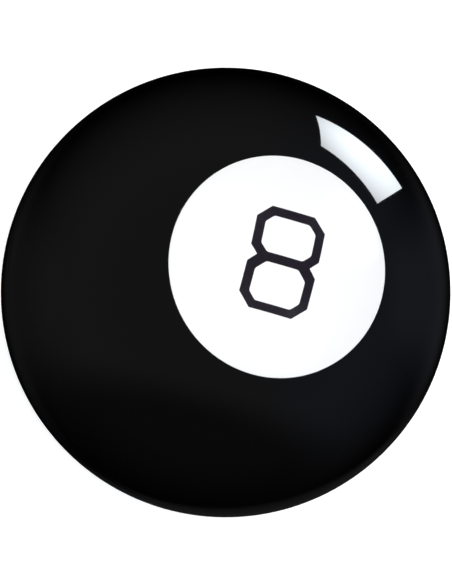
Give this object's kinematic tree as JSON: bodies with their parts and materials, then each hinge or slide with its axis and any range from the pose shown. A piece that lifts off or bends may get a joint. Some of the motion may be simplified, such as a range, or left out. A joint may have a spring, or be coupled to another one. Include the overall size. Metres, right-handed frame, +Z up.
{
  "type": "fortune telling ball",
  "caption": "Hollow black ball with a large white disc and a thin figure 8, a window in its flat underside, and a floating answer die in a sealed reservoir of dyed liquid.",
  "frame": {"origin": "centre of the flat standing rim, on the surface that the ball stands on", "axes": "+Z up from the window to the number disc, +Y towards the top of the figure, +X to the figure's right"},
  "size_m": [0.1016, 0.1016, 0.0948],
  "materials": {
    "black_shell": "gloss",
    "white_disc": "gloss",
    "numeral_ink": "satin",
    "clear_window": "gloss",
    "reservoir_plastic": "satin",
    "seal_rubber": "matte",
    "blue_liquid": "gloss",
    "die_plastic": "satin"
  },
  "bodies": {
    "ball": {"upper_shell": "black_shell", "lower_shell": "black_shell", "number_disc": "white_disc", "numeral": "numeral_ink", "window_lens": "clear_window", "reservoir_tube": "reservoir_plastic", "reservoir_back_cap": "reservoir_plastic", "bubble_funnel": "reservoir_plastic", "filler_plug": "reservoir_plastic", "plug_seal": "seal_rubber", "dyed_liquid": "blue_liquid"},
    "die": {"die_half_a": "die_plastic", "die_half_b": "die_plastic"}
  },
  "joints": [
    {"name": "die_float", "type": "slide", "parent": "ball", "child": "die", "axis": [0, 0, 1], "range_m": [0, 0.007], "deforming": ["dyed_liquid"]}
  ]
}
